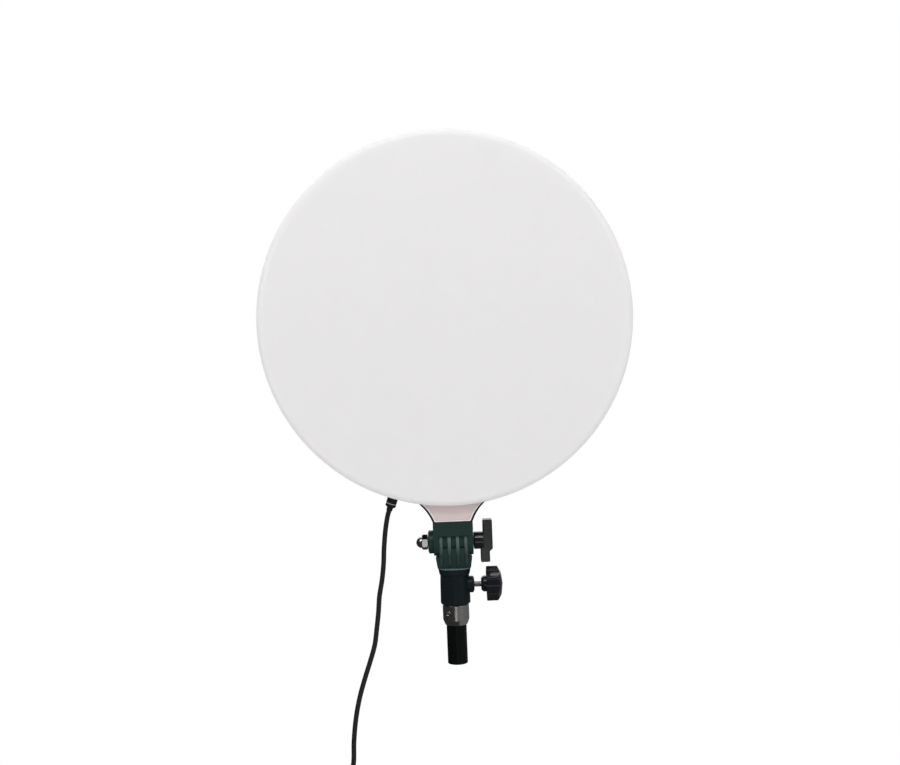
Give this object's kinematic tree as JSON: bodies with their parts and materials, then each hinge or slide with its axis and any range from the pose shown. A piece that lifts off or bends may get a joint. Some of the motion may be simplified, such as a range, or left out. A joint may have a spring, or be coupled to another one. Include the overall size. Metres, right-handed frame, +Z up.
{
  "type": "led soft light",
  "caption": "Round LED soft light with a milky diffuser, on a tilting and panning bracket clamped to a stand spigot, with its power lead and wall adapter.",
  "frame": {"origin": "centre of the lower end face of the stand tube that the light is clamped on", "axes": "+Z up along the stand tube, -Y the way the light faces, +X to the right seen from the front"},
  "size_m": [0.36, 0.063, 0.7923],
  "materials": {
    "milky_acrylic": "satin, translucent white",
    "black_abs": "fine moulded texture",
    "white_abs": "smooth moulded, faintly pink",
    "dark_nylon": "glass filled, dark green black",
    "black_knob": "satin moulded",
    "chrome": "bright plated",
    "steel": "turned and plated",
    "brass": "plain",
    "black_paint": "gloss powder coat",
    "soft_pvc": "matt flexible",
    "aluminium": "satin",
    "circuit_green": "solder resist",
    "white_card": "matt white reflector"
  },
  "bodies": {
    "stand": {"stand_tube": "black_paint", "tube_plug": "black_knob", "spigot_collar": "steel", "collar_set_screw": "steel"},
    "bracket": {"tilt_bracket": "dark_nylon", "clamp_insert": "brass", "power_lead": "soft_pvc", "lead_coil": "soft_pvc", "coil_tie": "soft_pvc", "adapter_relief": "soft_pvc", "wall_adapter": "black_abs", "blade_left": "brass", "blade_right": "brass"},
    "clamp_knob": {"clamp_screw": "steel", "star_knob": "black_knob"},
    "head": {"neck_knuckle": "dark_nylon", "handle_washer": "steel", "cap_nut": "chrome", "front_cover": "milky_acrylic", "rear_housing": "black_abs", "neck_cover": "white_abs", "housing_screw_1": "steel", "housing_screw_2": "steel", "housing_screw_3": "steel", "housing_screw_4": "steel", "housing_screw_5": "steel", "housing_screw_6": "steel", "neck_screw_left": "steel", "neck_screw_right": "steel", "led_board": "aluminium", "reflector_ring": "white_card", "driver_board": "circuit_green", "brightness_pot": "steel", "colour_pot": "steel", "switch_body": "black_abs", "dc_jack": "black_knob", "dc_plug": "soft_pvc"},
    "tilt_handle": {"tilt_bolt": "steel", "t_handle": "black_knob"},
    "brightness_control": {"brightness_shaft": "aluminium", "brightness_dial": "black_knob"},
    "colour_control": {"colour_shaft": "aluminium", "colour_dial": "black_knob"},
    "rocker": {"power_rocker": "black_knob"}
  },
  "joints": [
    {"name": "pan", "type": "hinge", "parent": "stand", "child": "bracket", "pos_m": [0, 0, 0.0588], "axis": [0, 0, 1], "continuous": true},
    {"name": "tilt", "type": "hinge", "parent": "bracket", "child": "head", "pos_m": [0, 0, 0.12], "axis": [1, 0, 0], "range_deg": [-90, 50], "deforming": ["power_lead"]},
    {"name": "handle_turn", "type": "hinge", "parent": "head", "child": "tilt_handle", "pos_m": [0.0197, 0, 0.12], "axis": [1, 0, 0], "continuous": true},
    {"name": "clamp_turn", "type": "hinge", "parent": "bracket", "child": "clamp_knob", "pos_m": [0.0189, 0, 0.077], "axis": [1, 0, 0], "continuous": true},
    {"name": "brightness_turn", "type": "hinge", "parent": "head", "child": "brightness_control", "pos_m": [0.038, 0.0215, 0.242], "axis": [0, 1, 0], "range_deg": [-140, 140]},
    {"name": "colour_turn", "type": "hinge", "parent": "head", "child": "colour_control", "pos_m": [-0.038, 0.0215, 0.242], "axis": [0, 1, 0], "range_deg": [-140, 140]},
    {"name": "power_rock", "type": "hinge", "parent": "head", "child": "rocker", "pos_m": [0, 0.0218, 0.242], "axis": [1, 0, 0], "range_deg": [0, 16]}
  ]
}
